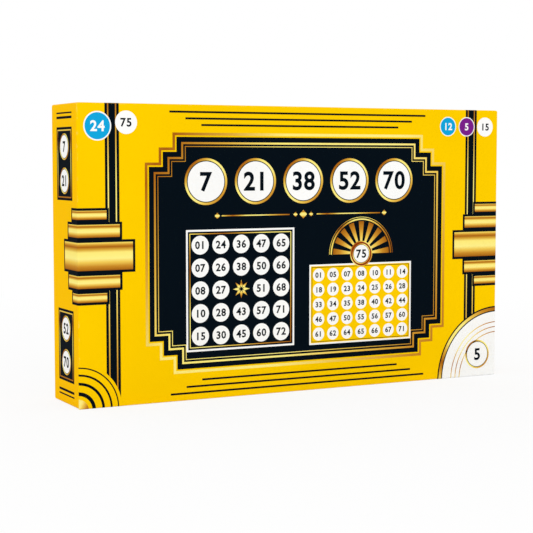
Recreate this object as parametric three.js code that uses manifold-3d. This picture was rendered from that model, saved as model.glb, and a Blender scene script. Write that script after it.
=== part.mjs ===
// Boxed number game: a two-piece rigid card box, standing on its long side with its lid
// facing -Y, and what it holds. Millimetres, +X along the box, +Z up, origin under its middle.
import * as THREE from 'three';
import { mergeVertices } from 'three/addons/utils/BufferGeometryUtils.js';
import Module from 'manifold-3d';

const wasm = await Module();
wasm.setup();

// Play cards, in two stacks side by side
const cardWidth = 188;
const cardHeight = 225;
const cardThick = 1.1;
const cardCorner = 2;
const cardAir = 0.05;
const cardsPerStack = 12;
const cardMiddleGap = 6;
const cardSideGap = 4.5;
const cardEndGap = 3;

// Long board for the numbers called
const callerLength = 384;
const callerWidth = 152;
const callerThick = 2;
const callerCorner = 3;
const callerEndGap = 3.5;

// Folded rules leaflet
const leafletLength = 210;
const leafletWidth = 148;
const leafletPaper = 0.4;
const leafletSlit = 0.4;

// Numbered tokens and plain marker chips, in piles
const tokenDiameter = 22;
const tokenThick = 2;
const tokensPerPile = 15;
const tokenPiles = 5;
const tokenPitch = 41;
const chipDiameter = 19;
const chipThick = 1.5;
const chipsPerPile = 16;
const chipPiles = 4;
const chipPitch = 46;
const discLean = 0.3;
const discStep = 0.1;

// Draw bag, folded flat
const bagLength = 190;
const bagWidth = 140;
const bagThick = 20;
const bagCorner = 26;
const bagEdgeRound = 9;

// Thermoformed insert tray
const traySheet = 1;
const trayWallGap = 0.5;
const trayCorner = 5;
const wellGap = 0.4;
const wellFloorRound = 0.8;
const wellHeadroom = 1.55;
const fingerWidth = 13;
const fingerDepth = 17;
const fingerReach = 13;
const fingerBite = 3;
const recessSideGap = 14;
const recessEndGap = 16;
const recessCorner = 18;
const recessFloorRound = 5;
const floorRibWidth = 9;
const floorRibHeight = 3;
const floorRibRound = 1.6;
const floorRibPitch = 46;
const floorRibs = 3;
const floorRibEndGap = 18;

// Box board, lid and base
const boardThick = 2;
const slipGap = 0.5;
const baseReveal = 1.5;
const rimGap = 0.5;
const headSpace = 5;
const boxCornerRound = 1.6;
const boxEdgeRound = 1.1;
const innerCorner = 0.6;

// Gap between pieces that lie on each other, and how far a cutting solid overruns
const seatGap = 0.3;
const cutOverrun = 2;

// Shortest straight that a rounded outline still draws
const leastStraight = 0.001;

// Draft of the formed sheet, in degrees
const skirtDraft = 3;
const wellDraft = 1.5;
const recessDraft = 5;

// Facets
const boxCornerSteps = 3;
const softCornerSteps = 4;
const cardCornerSteps = 2;
const edgeSteps = 3;
const discSides = 12;

// What follows from the sizes above
const cardStackThick = cardsPerStack * cardThick + (cardsPerStack - 1) * cardAir;
const leafletThick = 2 * leafletPaper + leafletSlit;
const tokenPileThick = tokensPerPile * tokenThick;
const chipPileThick = chipsPerPile * chipThick;
const wellDepth = seatGap + Math.max(tokenPileThick, chipPileThick) + wellHeadroom;
const trayDepth = wellDepth + traySheet;
const innerWidth = Math.max(2 * (cardWidth + cardSideGap) + cardMiddleGap, callerLength + 2 * callerEndGap);
const innerHeight = cardHeight + 2 * cardEndGap;
const baseWidth = innerWidth + 2 * boardThick;
const baseHeight = innerHeight + 2 * boardThick;
const boxWidth = baseWidth + 2 * (slipGap + boardThick);
const boxHeight = baseHeight + 2 * (slipGap + boardThick);
const middleZ = boxHeight / 2;

// Depth of each layer, counted forwards from the inside of the base's panel
const contentThick = trayDepth + cardStackThick + callerThick + leafletThick + 4 * seatGap;
const boxDepth = 2 * boardThick + contentThick + headSpace;
const backY = boxDepth / 2;
const frontY = -boxDepth / 2;
const floorY = backY - boardThick;
const trayFrontY = floorY - seatGap - trayDepth;
const cardsBackY = trayFrontY - seatGap;
const callerBackY = cardsBackY - cardStackThick - seatGap;
const leafletBackY = callerBackY - callerThick - seatGap;
const wellFloorY = trayFrontY + wellDepth;

// Places of the tray's wells and recess, seen from the front
const trayWidth = innerWidth - 2 * trayWallGap;
const trayHeight = innerHeight - 2 * trayWallGap;
const recessWidth = bagLength + 2 * recessSideGap;
const recessHeight = bagWidth + 2 * recessEndGap;
const columnX = (trayWidth + recessWidth) / 4;
const ribLength = recessHeight - 2 * (recessFloorRound + floorRibEndGap);

// One finish for each kind of piece
function finish(color, roughness) {
  return new THREE.MeshStandardMaterial({ color, roughness, metalness: 0 });
}

const printedYellow = finish(0xffcf01, 0.35);
const formedPlastic = finish(0x15181a, 0.4);
const printedBlack = finish(0x0f1a1a, 0.4);
const tokenBoard = finish(0xf4f2ea, 0.6);
const chipPlastics = [0xc8141c, 0x0f8a3c, 0x1550b8, 0xf08a00].map((color) => finish(color, 0.3));
const bagCloth = finish(0xe8ae08, 0.95);
const leafletWhite = finish(0xf7f6f2, 0.7);

function namedMesh(name, geometry, material) {
  const mesh = new THREE.Mesh(geometry, material);
  mesh.name = name;
  return mesh;
}

// Solids for joining and cutting, and back again
function toSolid(geometry) {
  const bare = geometry.clone();
  bare.deleteAttribute('normal');
  bare.deleteAttribute('uv');
  const merged = mergeVertices(bare);
  return new wasm.Manifold(new wasm.Mesh({
    numProp: 3,
    vertProperties: new Float32Array(merged.attributes.position.array),
    triVerts: new Uint32Array(merged.index.array),
  }));
}

function toGeometry(solid) {
  const { vertProperties, triVerts } = solid.getMesh();
  const geometry = new THREE.BufferGeometry();
  geometry.setAttribute('position', new THREE.BufferAttribute(vertProperties, 3));
  geometry.setIndex(new THREE.BufferAttribute(triVerts, 1));
  geometry.computeVertexNormals();
  return geometry;
}

function joined(geometries) {
  return geometries.map(toSolid).reduce((whole, next) => whole.add(next));
}

// Ring of a rounded rectangle seen from the front, at one depth. A full round has no straights.
function roundedRing(outline, y, inset) {
  const cornerSteps = outline.steps;
  const corner = outline.corner - inset;
  const halfX = outline.width / 2 - outline.corner;
  const halfZ = outline.height / 2 - outline.corner;
  const ring = [];
  const corners = [[1, 1], [-1, 1], [-1, -1], [1, -1]];
  corners.forEach(([sideX, sideZ], index) => {
    const straight = index % 2 === 0 ? halfZ : halfX;
    const first = straight > leastStraight ? 0 : 1;
    for (let step = first; step <= cornerSteps; step += 1) {
      const angle = (index + step / cornerSteps) * Math.PI / 2;
      ring.push(new THREE.Vector3(
        outline.x + sideX * halfX + corner * Math.cos(angle),
        y,
        outline.z + sideZ * halfZ + corner * Math.sin(angle),
      ));
    }
  });
  return ring;
}

// Closed solid through the rings of an outline at a list of depths, the last one nearest the end
function lofted(outline, stations) {
  const rings = stations.map(({ y, inset }) => roundedRing(outline, y, inset));
  const count = rings[0].length;
  const points = rings.flat();
  const faces = [];
  for (let level = 0; level < rings.length - 1; level += 1) {
    for (let index = 0; index < count; index += 1) {
      const next = (index + 1) % count;
      const a = level * count + index;
      const b = level * count + next;
      faces.push([a, b, b + count], [a, b + count, a + count]);
    }
  }
  const last = (rings.length - 1) * count;
  for (let index = 1; index < count - 1; index += 1) {
    faces.push([0, index + 1, index], [last, last + index, last + index + 1]);
  }
  const towardsFront = stations[0].y > stations[stations.length - 1].y;
  const ordered = towardsFront ? faces : faces.map(([a, b, c]) => [a, c, b]);
  const geometry = new THREE.BufferGeometry().setFromPoints(points);
  geometry.setIndex(ordered.flat());
  geometry.computeVertexNormals();
  return geometry;
}

// Depths of a solid that narrows by a draft from startY and ends in a rounded edge at endY
function draftedStations(startY, endY, draft, round) {
  const way = Math.sign(endY - startY);
  const straight = Math.abs(endY - startY) - round;
  const narrowing = leanOver(straight, draft);
  const stations = [{ y: startY, inset: 0 }, { y: startY + way * straight, inset: narrowing }];
  for (let step = 1; step <= edgeSteps; step += 1) {
    const angle = (step / edgeSteps) * Math.PI / 2;
    stations.push({
      y: startY + way * (straight + round * Math.sin(angle)),
      inset: narrowing + round * (1 - Math.cos(angle)),
    });
  }
  return stations;
}

// How far a wall with a draft leans in over a length
function leanOver(length, draft) {
  return length * Math.tan(THREE.MathUtils.degToRad(draft));
}

// The same outline, larger all round
function grown(outline, by) {
  return {
    ...outline,
    width: outline.width + 2 * by,
    height: outline.height + 2 * by,
    corner: outline.corner + by,
  };
}

function roundOutline(x, z, diameter) {
  return { x, z, width: diameter, height: diameter, corner: diameter / 2, steps: softCornerSteps };
}

// Open box of card: a rounded outer block less its inside, open at rimY
function openBox(name, outline, rimY, panelY) {
  const way = Math.sign(panelY - rimY);
  const outer = lofted(outline, draftedStations(rimY, panelY, 0, boxEdgeRound));
  const inside = { ...grown(outline, -boardThick), corner: innerCorner };
  const cavity = lofted(inside, [
    { y: rimY - way * cutOverrun, inset: 0 },
    { y: panelY - way * boardThick, inset: 0 },
  ]);
  return namedMesh(name, toGeometry(toSolid(outer).subtract(toSolid(cavity))), printedYellow);
}

function boxOutline(width, height) {
  return { x: 0, z: middleZ, width, height, corner: boxCornerRound, steps: boxCornerSteps };
}

function makeLid() {
  return openBox('lid', boxOutline(boxWidth, boxHeight), backY - baseReveal, frontY);
}

function makeBase() {
  return openBox('base', boxOutline(baseWidth, baseHeight), frontY + boardThick + rimGap, backY);
}

// Outline of a formed or sewn piece, centred in the box's height
function softOutline(x, width, height, corner) {
  return { x, z: middleZ, width, height, corner, steps: softCornerSteps };
}

// Places of a column of piles, from the lowest up
function columnPlaces(x, count, pitch) {
  const places = [];
  for (let index = 0; index < count; index += 1) {
    places.push({ x, z: middleZ + (index - (count - 1) / 2) * pitch });
  }
  return places;
}

const tokenPlaces = columnPlaces(-columnX, tokenPiles, tokenPitch);
const chipPlaces = columnPlaces(columnX, chipPiles, chipPitch);

// A column of round wells, and beside it one finger trough that bites into every well
function columnPockets(places, diameter, troughSide) {
  const draftGrowth = leanOver(wellDepth, wellDraft);
  const wells = places.map(({ x, z }) => ({
    outline: roundOutline(x, z, diameter + 2 * (wellGap + draftGrowth)),
    depth: wellDepth,
    round: wellFloorRound,
    draft: wellDraft,
  }));
  const length = places[places.length - 1].z - places[0].z + diameter + 2 * fingerReach;
  const troughX = places[0].x + troughSide * (diameter / 2 + fingerWidth / 2 - fingerBite);
  const trough = {
    outline: softOutline(troughX, fingerWidth, length, fingerWidth / 2),
    depth: fingerDepth,
    round: recessFloorRound,
    draft: wellDraft,
  };
  return [...wells, trough];
}

// Sheet-thin pocket: the cavity starts in front of the flange, the skin round it inside the flange
function pocketCavity({ outline, depth, draft, round }) {
  const stations = draftedStations(trayFrontY, trayFrontY + depth, draft, round);
  return lofted(outline, [{ y: trayFrontY - cutOverrun, inset: 0 }, ...stations]);
}

function pocketSkin({ outline, depth, draft, round }) {
  const endY = trayFrontY + depth + traySheet;
  return lofted(grown(outline, traySheet), draftedStations(trayFrontY, endY, draft, round + traySheet));
}

// Stiffening ribs that stand up from the recess floor, hollow from behind like the rest
function floorRibOutlines() {
  const outlines = [];
  for (let index = 0; index < floorRibs; index += 1) {
    const x = (index - (floorRibs - 1) / 2) * floorRibPitch;
    outlines.push(softOutline(x, floorRibWidth, ribLength, floorRibWidth / 2));
  }
  return outlines;
}

function makeInsertTray() {
  const rim = softOutline(0, trayWidth, trayHeight, trayCorner);
  const footY = trayFrontY + trayDepth;
  const sheetBackY = trayFrontY + traySheet;
  const block = lofted(rim, [
    { y: footY, inset: leanOver(trayDepth - traySheet, skirtDraft) },
    ...draftedStations(sheetBackY, trayFrontY, 0, traySheet).slice(1),
  ]);
  const under = lofted(grown(rim, -traySheet), [
    { y: footY + cutOverrun, inset: leanOver(trayDepth - traySheet + cutOverrun, skirtDraft) },
    { y: sheetBackY, inset: 0 },
  ]);
  const recess = {
    outline: softOutline(0, recessWidth, recessHeight, recessCorner),
    depth: wellDepth,
    draft: recessDraft,
    round: recessFloorRound,
  };
  const pockets = [
    ...columnPockets(tokenPlaces, tokenDiameter, 1),
    ...columnPockets(chipPlaces, chipDiameter, -1),
    recess,
  ];
  const ribTopY = wellFloorY - floorRibHeight;
  const ribSkins = floorRibOutlines().map((outline) => (
    lofted(outline, draftedStations(wellFloorY + traySheet / 2, ribTopY, 0, floorRibRound))
  ));
  const ribHollows = floorRibOutlines().map((outline) => (
    lofted(grown(outline, -traySheet), [
      { y: footY + cutOverrun, inset: 0 },
      { y: ribTopY + traySheet, inset: 0 },
    ])
  ));
  const solid = toSolid(block)
    .subtract(toSolid(under))
    .add(joined(pockets.map(pocketSkin)))
    .subtract(joined(pockets.map(pocketCavity)))
    .add(joined(ribSkins))
    .subtract(joined(ribHollows));
  return namedMesh('insert_tray', toGeometry(solid), formedPlastic);
}

// Pile of discs as one turned solid. Each wall leans in a little, so the joints show as steps.
function discPile(name, place, diameter, thick, count, material) {
  const radius = diameter / 2;
  const profile = [new THREE.Vector2(0, 0)];
  for (let index = 0; index < count; index += 1) {
    profile.push(new THREE.Vector2(radius, index * thick + discStep));
    profile.push(new THREE.Vector2(radius - discLean, (index + 1) * thick));
  }
  profile.push(new THREE.Vector2(0, count * thick));
  const geometry = new THREE.LatheGeometry(profile, discSides);
  geometry.rotateX(Math.PI);
  const mesh = namedMesh(name, geometry, material);
  mesh.position.set(place.x, wellFloorY - seatGap, place.z);
  return mesh;
}

function makeTokenPiles() {
  return tokenPlaces.map((place, index) => (
    discPile(`token_pile_${index + 1}`, place, tokenDiameter, tokenThick, tokensPerPile, tokenBoard)
  ));
}

function makeMarkerPiles() {
  return chipPlaces.map((place, index) => {
    const plastic = chipPlastics[index % chipPlastics.length];
    return discPile(`marker_pile_${index + 1}`, place, chipDiameter, chipThick, chipsPerPile, plastic);
  });
}

// Soft pouch, round at its back and front edges
function makeDrawBag() {
  const outline = softOutline(0, bagLength, bagWidth, bagCorner);
  const restY = wellFloorY - floorRibHeight - seatGap;
  const middleY = restY - bagThick / 2;
  const back = draftedStations(middleY, restY, 0, bagEdgeRound).reverse();
  const front = draftedStations(middleY, restY - bagThick, 0, bagEdgeRound);
  return namedMesh('draw_bag', lofted(outline, [...back, ...front.slice(1)]), bagCloth);
}

// Flat board with rounded corners, its back at y = 0 and its front towards -Y
function flatBoard(width, height, thick, corner) {
  const halfX = width / 2 - corner;
  const halfZ = height / 2 - corner;
  const shape = new THREE.Shape();
  shape.absarc(halfX, halfZ, corner, 0, Math.PI / 2);
  shape.absarc(-halfX, halfZ, corner, Math.PI / 2, Math.PI);
  shape.absarc(-halfX, -halfZ, corner, Math.PI, 3 * Math.PI / 2);
  shape.absarc(halfX, -halfZ, corner, 3 * Math.PI / 2, 2 * Math.PI);
  const geometry = new THREE.ExtrudeGeometry(shape, {
    depth: thick,
    bevelEnabled: false,
    curveSegments: cardCornerSteps,
  });
  return geometry.rotateX(Math.PI / 2);
}

function makeCardStack(side, x) {
  const geometry = flatBoard(cardWidth, cardHeight, cardThick, cardCorner);
  const cards = [];
  for (let index = 0; index < cardsPerStack; index += 1) {
    const number = String(index + 1).padStart(2, '0');
    const mesh = namedMesh(`card_${side}_${number}`, geometry, printedBlack);
    mesh.position.set(x, cardsBackY - index * (cardThick + cardAir), middleZ);
    cards.push(mesh);
  }
  return cards;
}

function makeCallerBoard() {
  const geometry = flatBoard(callerLength, callerWidth, callerThick, callerCorner);
  const mesh = namedMesh('caller_board', geometry, printedYellow);
  mesh.position.set(0, callerBackY, middleZ);
  return mesh;
}

// One sheet folded once: two leaves and the fold between them, as a section drawn upwards
function makeRulesLeaflet() {
  const outer = leafletThick / 2;
  const inner = leafletSlit / 2;
  const openX = leafletLength / 2;
  const foldX = outer - openX;
  const section = new THREE.Shape();
  section.moveTo(openX, outer);
  section.absarc(foldX, 0, outer, Math.PI / 2, 3 * Math.PI / 2);
  section.lineTo(openX, -outer);
  section.lineTo(openX, -inner);
  section.absarc(foldX, 0, inner, 3 * Math.PI / 2, Math.PI / 2, true);
  section.lineTo(openX, inner);
  const geometry = new THREE.ExtrudeGeometry(section, {
    depth: leafletWidth,
    bevelEnabled: false,
    curveSegments: edgeSteps,
  });
  const mesh = namedMesh('rules_leaflet', geometry, leafletWhite);
  mesh.position.set(0, leafletBackY - outer, middleZ - leafletWidth / 2);
  return mesh;
}

const stackX = (cardWidth + cardMiddleGap) / 2;
const game = new THREE.Group();
game.add(makeLid(), makeBase(), makeInsertTray());
game.add(...makeTokenPiles(), ...makeMarkerPiles(), makeDrawBag());
game.add(...makeCardStack('left', -stackX), ...makeCardStack('right', stackX));
game.add(makeCallerBoard(), makeRulesLeaflet());

export default game;
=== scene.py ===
import math
import random

import bmesh
import bpy
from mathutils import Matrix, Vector, geometry, noise


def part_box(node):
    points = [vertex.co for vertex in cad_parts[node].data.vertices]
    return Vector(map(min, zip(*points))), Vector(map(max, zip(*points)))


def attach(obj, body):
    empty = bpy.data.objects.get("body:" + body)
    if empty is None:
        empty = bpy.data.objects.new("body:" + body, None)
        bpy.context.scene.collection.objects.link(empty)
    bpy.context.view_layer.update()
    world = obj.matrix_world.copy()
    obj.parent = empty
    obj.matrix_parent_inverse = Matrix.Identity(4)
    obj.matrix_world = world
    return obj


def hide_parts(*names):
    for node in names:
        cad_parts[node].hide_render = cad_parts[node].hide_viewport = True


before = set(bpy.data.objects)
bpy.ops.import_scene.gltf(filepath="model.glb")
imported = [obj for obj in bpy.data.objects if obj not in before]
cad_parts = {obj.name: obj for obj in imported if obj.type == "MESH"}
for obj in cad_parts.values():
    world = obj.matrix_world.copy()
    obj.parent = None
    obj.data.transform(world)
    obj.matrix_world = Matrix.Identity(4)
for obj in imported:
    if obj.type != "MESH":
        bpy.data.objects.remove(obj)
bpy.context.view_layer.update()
random.seed(75)
mm = 0.001
scene = bpy.context.scene
scene.view_settings.view_transform = "Standard"
print("frame loaded:", len(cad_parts), "pieces")


def nodeBox(name):
    # lowest and highest corner of a piece, in millimetres
    low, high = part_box(name)
    return low / mm, high / mm


def addObject(name, data):
    added = bpy.data.objects.new(name, data)
    scene.collection.objects.link(added)
    return added


def addAimed(name, data, place, way):
    # cameras and lamps look along their own -Z
    added = addObject(name, data)
    added.location = place
    added.rotation_mode = "QUATERNION"
    added.rotation_quaternion = way.to_track_quat("-Z", "Y")
    return added


def newMesh(name, points, faces):
    mesh = bpy.data.meshes.new(name)
    mesh.from_pydata(points, [], faces)
    return mesh


def dress(mesh, finishList, kinds=()):
    # kinds gives each face the place of its finish in the list
    mesh.materials.clear()
    for finish in finishList:
        mesh.materials.append(finish)
    if kinds:
        mesh.polygons.foreach_set("material_index", kinds)


# camera

cameraSet = {
    "azimuth": -27.2945,     # degrees, negative looks from the left
    "elevation": 4.3405,
    "distance": 1195.8,      # mm from the target
    "target": (-19.36, 0, 104.47),
    "lens": 94.25,           # mm
    "sensor": 36,            # mm wide
    "clip": (0.05, 20),      # metres
}


def makeCamera():
    s = cameraSet
    azimuth, elevation = math.radians(s["azimuth"]), math.radians(s["elevation"])
    back = Vector((math.sin(azimuth) * math.cos(elevation),
                   -math.cos(azimuth) * math.cos(elevation),
                   math.sin(elevation)))
    data = bpy.data.cameras.new("camera")
    data.lens = s["lens"]
    data.sensor_width = s["sensor"]
    data.clip_start, data.clip_end = s["clip"]
    scene.camera = addAimed("camera", data, (Vector(s["target"]) + back * s["distance"]) * mm, -back)


makeCamera()
print("camera placed")


# materials

def srgb(hexCode):
    # sRGB hex to the linear colour that a socket takes
    channels = [int(hexCode[i:i + 2], 16) / 255 for i in (1, 3, 5)]
    linear = [c / 12.92 if c <= 0.04045 else ((c + 0.055) / 1.055) ** 2.4 for c in channels]
    return (*linear, 1)


def darker(hexCode, share):
    return [channel * share for channel in srgb(hexCode)[:3]] + [1]


def join(tree, source, node, socket):
    # a node stands for its first output
    tree.links.new(source.outputs[0] if hasattr(source, "outputs") else source, node.inputs[socket])


def addNode(tree, kind, settings=None, links=None):
    # a key with a capital or a number is a socket, any other is one of the node's own settings
    node = tree.nodes.new("ShaderNode" + kind)
    for key, value in (settings or {}).items():
        if isinstance(key, int) or key[0].isupper():
            node.inputs[key].default_value = value
        else:
            setattr(node, key, value)
    for key, source in (links or {}).items():
        join(tree, source, node, key)
    return node


def emptyTree(owner):
    owner.use_nodes = True
    owner.node_tree.nodes.clear()
    return owner.node_tree


def startMaterial(name, ior, gloss, grain, settings=None):
    # gloss is the specular level, grain the width in mm of its specks and their detail;
    # besides the material it gives back its tree, its shader, the place on the piece in mm, and the specks
    material = bpy.data.materials.new(name)
    tree = emptyTree(material)
    shader = addNode(tree, "BsdfPrincipled", {"IOR": ior, "Specular IOR Level": gloss, **(settings or {})})
    addNode(tree, "OutputMaterial", links={0: shader})
    place = addNode(tree, "VectorMath", {"operation": "SCALE", "Scale": 1 / mm},
                    {0: addNode(tree, "TexCoord").outputs["Object"]})
    specks = addNode(tree, "TexNoise", {"Scale": 1 / grain[0], "Detail": grain[1]}, {"Vector": place})
    return material, tree, shader, place, specks


def mottleFinish(tree, shader, pattern, first, second, low, high):
    # the colour runs from the first to the second where the pattern runs from low to high
    share = addNode(tree, "MapRange", {1: low, 2: high}, {0: pattern})
    mix = addNode(tree, "MixRGB", {"Color1": first, "Color2": second}, {"Fac": share})
    join(tree, mix, shader, "Base Color")
    return mix


def roughFinish(tree, shader, pattern, low, high):
    rough = addNode(tree, "MapRange", {1: 0.3, 2: 0.7, 3: low, 4: high}, {0: pattern})
    join(tree, rough, shader, "Roughness")


def reliefFinish(tree, shader, pattern, depth, strength):
    # depth in millimetres
    bump = addNode(tree, "Bump", {"Strength": strength, "Distance": depth * mm}, {"Height": pattern})
    join(tree, bump, shader, "Normal")
    return bump


def evenFinish(tree, shader, pattern, s):
    # roughness and relief that follow one pattern
    roughFinish(tree, shader, pattern, *s["rough"])
    reliefFinish(tree, shader, pattern, *s["relief"])


printSet = {
    "yellow": "#ffce00",
    # painted shade: the deeper yellow for the box's faces that turn away from the front and back
    "paintedShadeYellow": "#ffc400",
    "black": "#071018",
    "white": "#fdfdfb",
    "cyan": "#12a6dc",
    "purple": "#79208a",
    "red": "#8c2a12",
    "grey": "#c9c9c4",
    "fibre": (0.55, 2),      # mm and detail, specks of the paper under the film
    "cloud": (60, 0.965),    # mm, and how dark the faint unevenness of an ink gets
    "shader": (1.5, 0.003),  # IOR, and a specular level so low that the film hardly mirrors, even at a slant
    "rough": (0.42, 0.5),
    "relief": (0.02, 0.25),  # mm, and strength
    "gold": [(0.0, "#ffe468"), (0.09, "#cf922c"), (0.16, "#a86013"), (0.26, "#dba93a"), (0.36, "#ffec7b"),
             (0.58, "#fff08a"), (0.70, "#f2cb56"), (0.85, "#cb8c2a"), (1.0, "#a35f12")],
    "goldFinish": {"rough": (0.36, 0.44), "relief": (0.02, 0.25)},
}


def laminatedPrint(name, hexCode):
    # offset print under a matt film on wrapped board: a full, even colour with hardly any highlight
    s = printSet
    material, tree, shader, place, fibre = startMaterial(name, *s["shader"], s["fibre"])
    size, dark = s["cloud"]
    clouds = addNode(tree, "TexNoise", {"Scale": 1 / size, "Detail": 1}, {"Vector": place})
    colour = mottleFinish(tree, shader, clouds, srgb(hexCode), darker(hexCode, dark), 0.35, 0.65)
    evenFinish(tree, shader, fibre, s)
    return material, tree, shader, place, colour


def goldPrint(name):
    # gold drawn with a run of yellows and browns: each shape goes from light to dark across itself
    s = printSet
    material, tree, shader, _, fibre = startMaterial(name, *s["shader"], s["fibre"])
    run = addNode(tree, "Attribute", {"attribute_name": "shade"})
    ramp = addNode(tree, "ValToRGB", links={"Fac": run.outputs["Fac"]})
    stops = ramp.color_ramp.elements
    for index, (position, hexCode) in enumerate(s["gold"]):
        stop = stops[index] if index < 2 else stops.new(position)
        stop.position, stop.color = position, srgb(hexCode)
    join(tree, ramp, shader, "Base Color")
    evenFinish(tree, shader, fibre, s["goldFinish"])
    return material


wearSet = {
    "reach": 0.9,            # mm, how far from a fold the print rubs
    "lean": (0.995, 0.93),   # likeness of the rounded and the flat normal, from no wear to full wear
    "patch": 3.5,            # mm
    "bare": (0.52, 0.68),    # where the patches go from printed to rubbed
    "paper": "#f4ecd2",
    "share": 0.3,
}


def wrappedBoard(name):
    # the box's own print, with painted shade on its sides: every face that turns away from the front and the
    # back gets a deeper yellow; rubbed to paper along its folds
    s = wearSet
    material, tree, shader, place, colour = laminatedPrint(name, printSet["yellow"])
    normal = addNode(tree, "NewGeometry").outputs["Normal"]
    facing = addNode(tree, "SeparateXYZ", links={0: normal})
    flatness = addNode(tree, "Math", {"operation": "ABSOLUTE"}, {0: facing.outputs["Y"]})
    # painted shade: where a face turns away from the front and back, its yellow is mixed towards the deeper
    # one
    sides = addNode(tree, "MapRange", {1: 0.2, 2: 0.8, 3: 1, 4: 0}, {0: flatness})
    paintedSideShade = srgb(printSet["paintedShadeYellow"])
    sideShaded = addNode(tree, "MixRGB", {"Color2": paintedSideShade}, {"Fac": sides, "Color1": colour})
    rounded = addNode(tree, "Bevel", {"samples": 4, "Radius": s["reach"] * mm})
    likeness = addNode(tree, "VectorMath", {"operation": "DOT_PRODUCT"}, {0: rounded, 1: normal})
    edge = addNode(tree, "MapRange", {1: s["lean"][0], 2: s["lean"][1]}, {0: likeness.outputs["Value"]})
    patches = addNode(tree, "TexNoise", {"Scale": 1 / s["patch"], "Detail": 5}, {"Vector": place})
    patches = addNode(tree, "MapRange", {1: s["bare"][0], 2: s["bare"][1]}, {0: patches})
    worn = addNode(tree, "Math", {"operation": "MULTIPLY"}, {0: edge, 1: patches})
    share = addNode(tree, "Math", {"operation": "MULTIPLY", 1: s["share"]}, {0: worn})
    rubbed = addNode(tree, "MixRGB", {"Color2": srgb(s["paper"])}, {"Fac": share, "Color1": sideShaded})
    join(tree, rubbed, shader, "Base Color")
    return material


liningSet = {
    "board": ("#dedbd2", "#cfcabd"),
    "fibre": (0.5, 4),
    "turnIn": 15,            # mm of wrap turned in over the rim
    "ragged": (20, 0.8),     # mm, length and height of the waves in its edge
    "rough": (0.7, 0.9),
    "relief": (0.05, 0.5),
}


def boardLining(name, rimY):
    # grey-white board inside the box, with the wrap turned in over the rim
    s = liningSet
    material, tree, shader, place, fibre = startMaterial(name, 1.5, 0.2, s["fibre"])
    board = mottleFinish(tree, shader, fibre, *map(srgb, s["board"]), 0.3, 0.7)
    depth = addNode(tree, "SeparateXYZ", links={0: place}).outputs["Y"]
    length, height = s["ragged"]
    wave = addNode(tree, "TexNoise", {"Scale": 1 / length, "Detail": 1}, {"Vector": place})
    wave = addNode(tree, "MapRange", {3: -height, 4: height}, {0: wave})
    uneven = addNode(tree, "Math", {"operation": "ADD"}, {0: depth, 1: wave})
    edge = rimY - math.copysign(s["turnIn"], rimY)
    past = edge - math.copysign(0.2, rimY)
    fromRim = addNode(tree, "MapRange", {1: edge, 2: past, 3: 1, 4: 0}, {0: uneven})
    lining = addNode(tree, "MixRGB", {"Color2": srgb(printSet["yellow"])}, {"Fac": fromRim, "Color1": board})
    join(tree, lining, shader, "Base Color")
    evenFinish(tree, shader, fibre, s)
    return material


def cutCard(name, hexCode, layer):
    # die-cut card edge: pressed pulp in thin layers, layer is their pitch in mm
    material, tree, shader, place, fibre = startMaterial(name, 1.5, 0.15, (0.4, 3))
    depth = addNode(tree, "SeparateXYZ", links={0: place}).outputs["Y"]
    turn = addNode(tree, "Math", {"operation": "MULTIPLY", 1: 2 * math.pi / layer}, {0: depth})
    wave = addNode(tree, "Math", {"operation": "SINE"}, {0: turn})
    both = addNode(tree, "Math", {"operation": "MULTIPLY_ADD", 1: 0.12}, {0: wave, 2: fibre})
    mottleFinish(tree, shader, both, srgb(hexCode), darker(hexCode, 0.72), 0.35, 0.75)
    roughFinish(tree, shader, fibre, 0.8, 0.95)
    reliefFinish(tree, shader, both, 0.05, 0.6)
    return material


def formedStyrene(name, hexCode):
    # black sheet drawn over a mould while hot: satin, with a bright line along each lip and faint orange peel
    material, tree, shader, place, peel = startMaterial(name, 1.59, 0.4, (1.4, 2), {
        "Base Color": srgb(hexCode)})
    bump = reliefFinish(tree, shader, peel, 0.03, 0.2)
    join(tree, addNode(tree, "Bevel", {"samples": 6, "Radius": 0.5 * mm}), bump, "Normal")
    haze = addNode(tree, "TexNoise", {"Scale": 1 / 14, "Detail": 2}, {"Vector": place})
    roughFinish(tree, shader, haze, 0.26, 0.34)
    return material


def mouldedStyrene(name, hexCode):
    # clear tinted styrene of a marker chip: bright rim, colour deepest through the pile
    material, tree, shader, place, flow = startMaterial(name, 1.59, 0.3, (1.1, 2), {
        "Base Color": srgb(hexCode), "Transmission Weight": 0.2})
    haze = addNode(tree, "TexNoise", {"Scale": 1 / 3, "Detail": 3}, {"Vector": place})
    roughFinish(tree, shader, haze, 0.08, 0.18)
    reliefFinish(tree, shader, flow, 0.02, 0.12)
    return material


def plainCotton(name, hexCode):
    # plain weave, drawn at 0.9 mm so that its threads show; real ones are about half that
    thread = 0.9
    material, tree, shader, place, slub = startMaterial(name, 1.5, 0.15, (2.5, 4), {
        "Sheen Weight": 0.3, "Sheen Roughness": 0.5})
    parts = addNode(tree, "SeparateXYZ", links={0: place})
    waves = {}
    for index, axis in enumerate(("X", "Z")):
        turn = addNode(tree, "Math", {"operation": "MULTIPLY", 1: math.pi / thread}, {0: parts.outputs[axis]})
        waves[index] = addNode(tree, "Math", {"operation": "SINE"}, {0: turn})
    weave = addNode(tree, "Math", {"operation": "MULTIPLY"}, waves)
    height = addNode(tree, "Math", {"operation": "MULTIPLY_ADD", 1: 0.4}, {0: weave, 2: slub})
    mottleFinish(tree, shader, height, darker(hexCode, 0.8), srgb(hexCode), 0.1, 0.7)
    roughFinish(tree, shader, slub, 0.85, 0.97)
    reliefFinish(tree, shader, height, 0.25, 0.8)
    return material


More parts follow.
